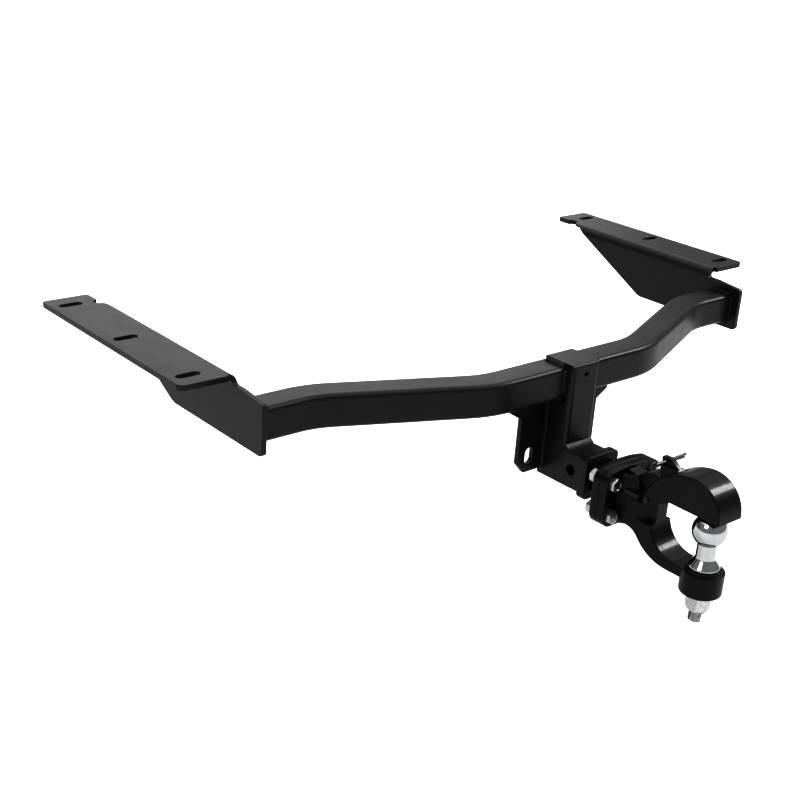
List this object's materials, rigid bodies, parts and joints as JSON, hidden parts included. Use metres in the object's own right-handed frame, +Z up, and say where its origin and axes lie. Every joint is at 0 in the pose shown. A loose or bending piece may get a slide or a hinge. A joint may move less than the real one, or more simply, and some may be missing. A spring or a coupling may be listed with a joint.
{
  "type": "vehicle tow bar",
  "caption": "Vehicle tow bar: bent square cross tube on two slotted chassis brackets, with a receiver that carries a flanged pintle hook and tow ball coupling with an opening jaw.",
  "frame": {"origin": "centre of the chassis slot pattern, on the top faces of the two side flanges", "axes": "+X to the vehicle's right, +Y to the vehicle's front, +Z up; the coupling points to -Y"},
  "size_m": [1.17, 0.838, 0.329],
  "materials": {
    "powder_coat": "satin black powder coat",
    "gloss_black": "gloss black paint on forged steel",
    "chrome": "polished chrome",
    "zinc": "bright zinc plate",
    "dark_steel": "blackened steel"
  },
  "bodies": {
    "tow_bar": {"left_side_bracket": "powder_coat", "right_side_bracket": "powder_coat", "cross_tube": "powder_coat", "saddle_cap": "powder_coat", "drop_back_plate": "powder_coat", "left_cheek": "powder_coat", "right_cheek": "powder_coat", "receiver_roof": "powder_coat", "receiver_floor": "powder_coat", "mouth_collar": "powder_coat", "drop_foot_weld": "powder_coat", "chain_plate": "powder_coat"},
    "coupling": {"shank_bar": "gloss_black", "shank_flange": "gloss_black", "hook_body": "gloss_black", "flange_bolts": "zinc", "flange_washers": "zinc", "flange_nuts": "zinc", "jaw_pivot_pin": "dark_steel", "jaw_pin_clip": "dark_steel", "tow_ball": "chrome", "ball_washer": "zinc", "ball_nut": "zinc"},
    "jaw": {"upper_jaw": "gloss_black", "latch_pivot_pin": "dark_steel"},
    "latch_arm": {"latch": "gloss_black"},
    "locking_pin": {"lock_pin": "zinc"}
  },
  "joints": [
    {"name": "shank_slide", "type": "slide", "parent": "tow_bar", "child": "coupling", "axis": [0, -1, 0], "range_m": [0, 0.12]},
    {"name": "jaw_hinge", "type": "hinge", "parent": "coupling", "child": "jaw", "pos_m": [0, -0.51599, -0.17493], "axis": [-1, 0, 0], "range_deg": [0, 55]},
    {"name": "latch_hinge", "type": "hinge", "parent": "jaw", "child": "latch_arm", "pos_m": [0, -0.551, -0.13], "axis": [1, 0, 0], "range_deg": [0, 25]},
    {"name": "lock_pin_slide", "type": "slide", "parent": "latch_arm", "child": "locking_pin", "axis": [-1, 0, 0], "range_m": [0, 0.06]}
  ]
}
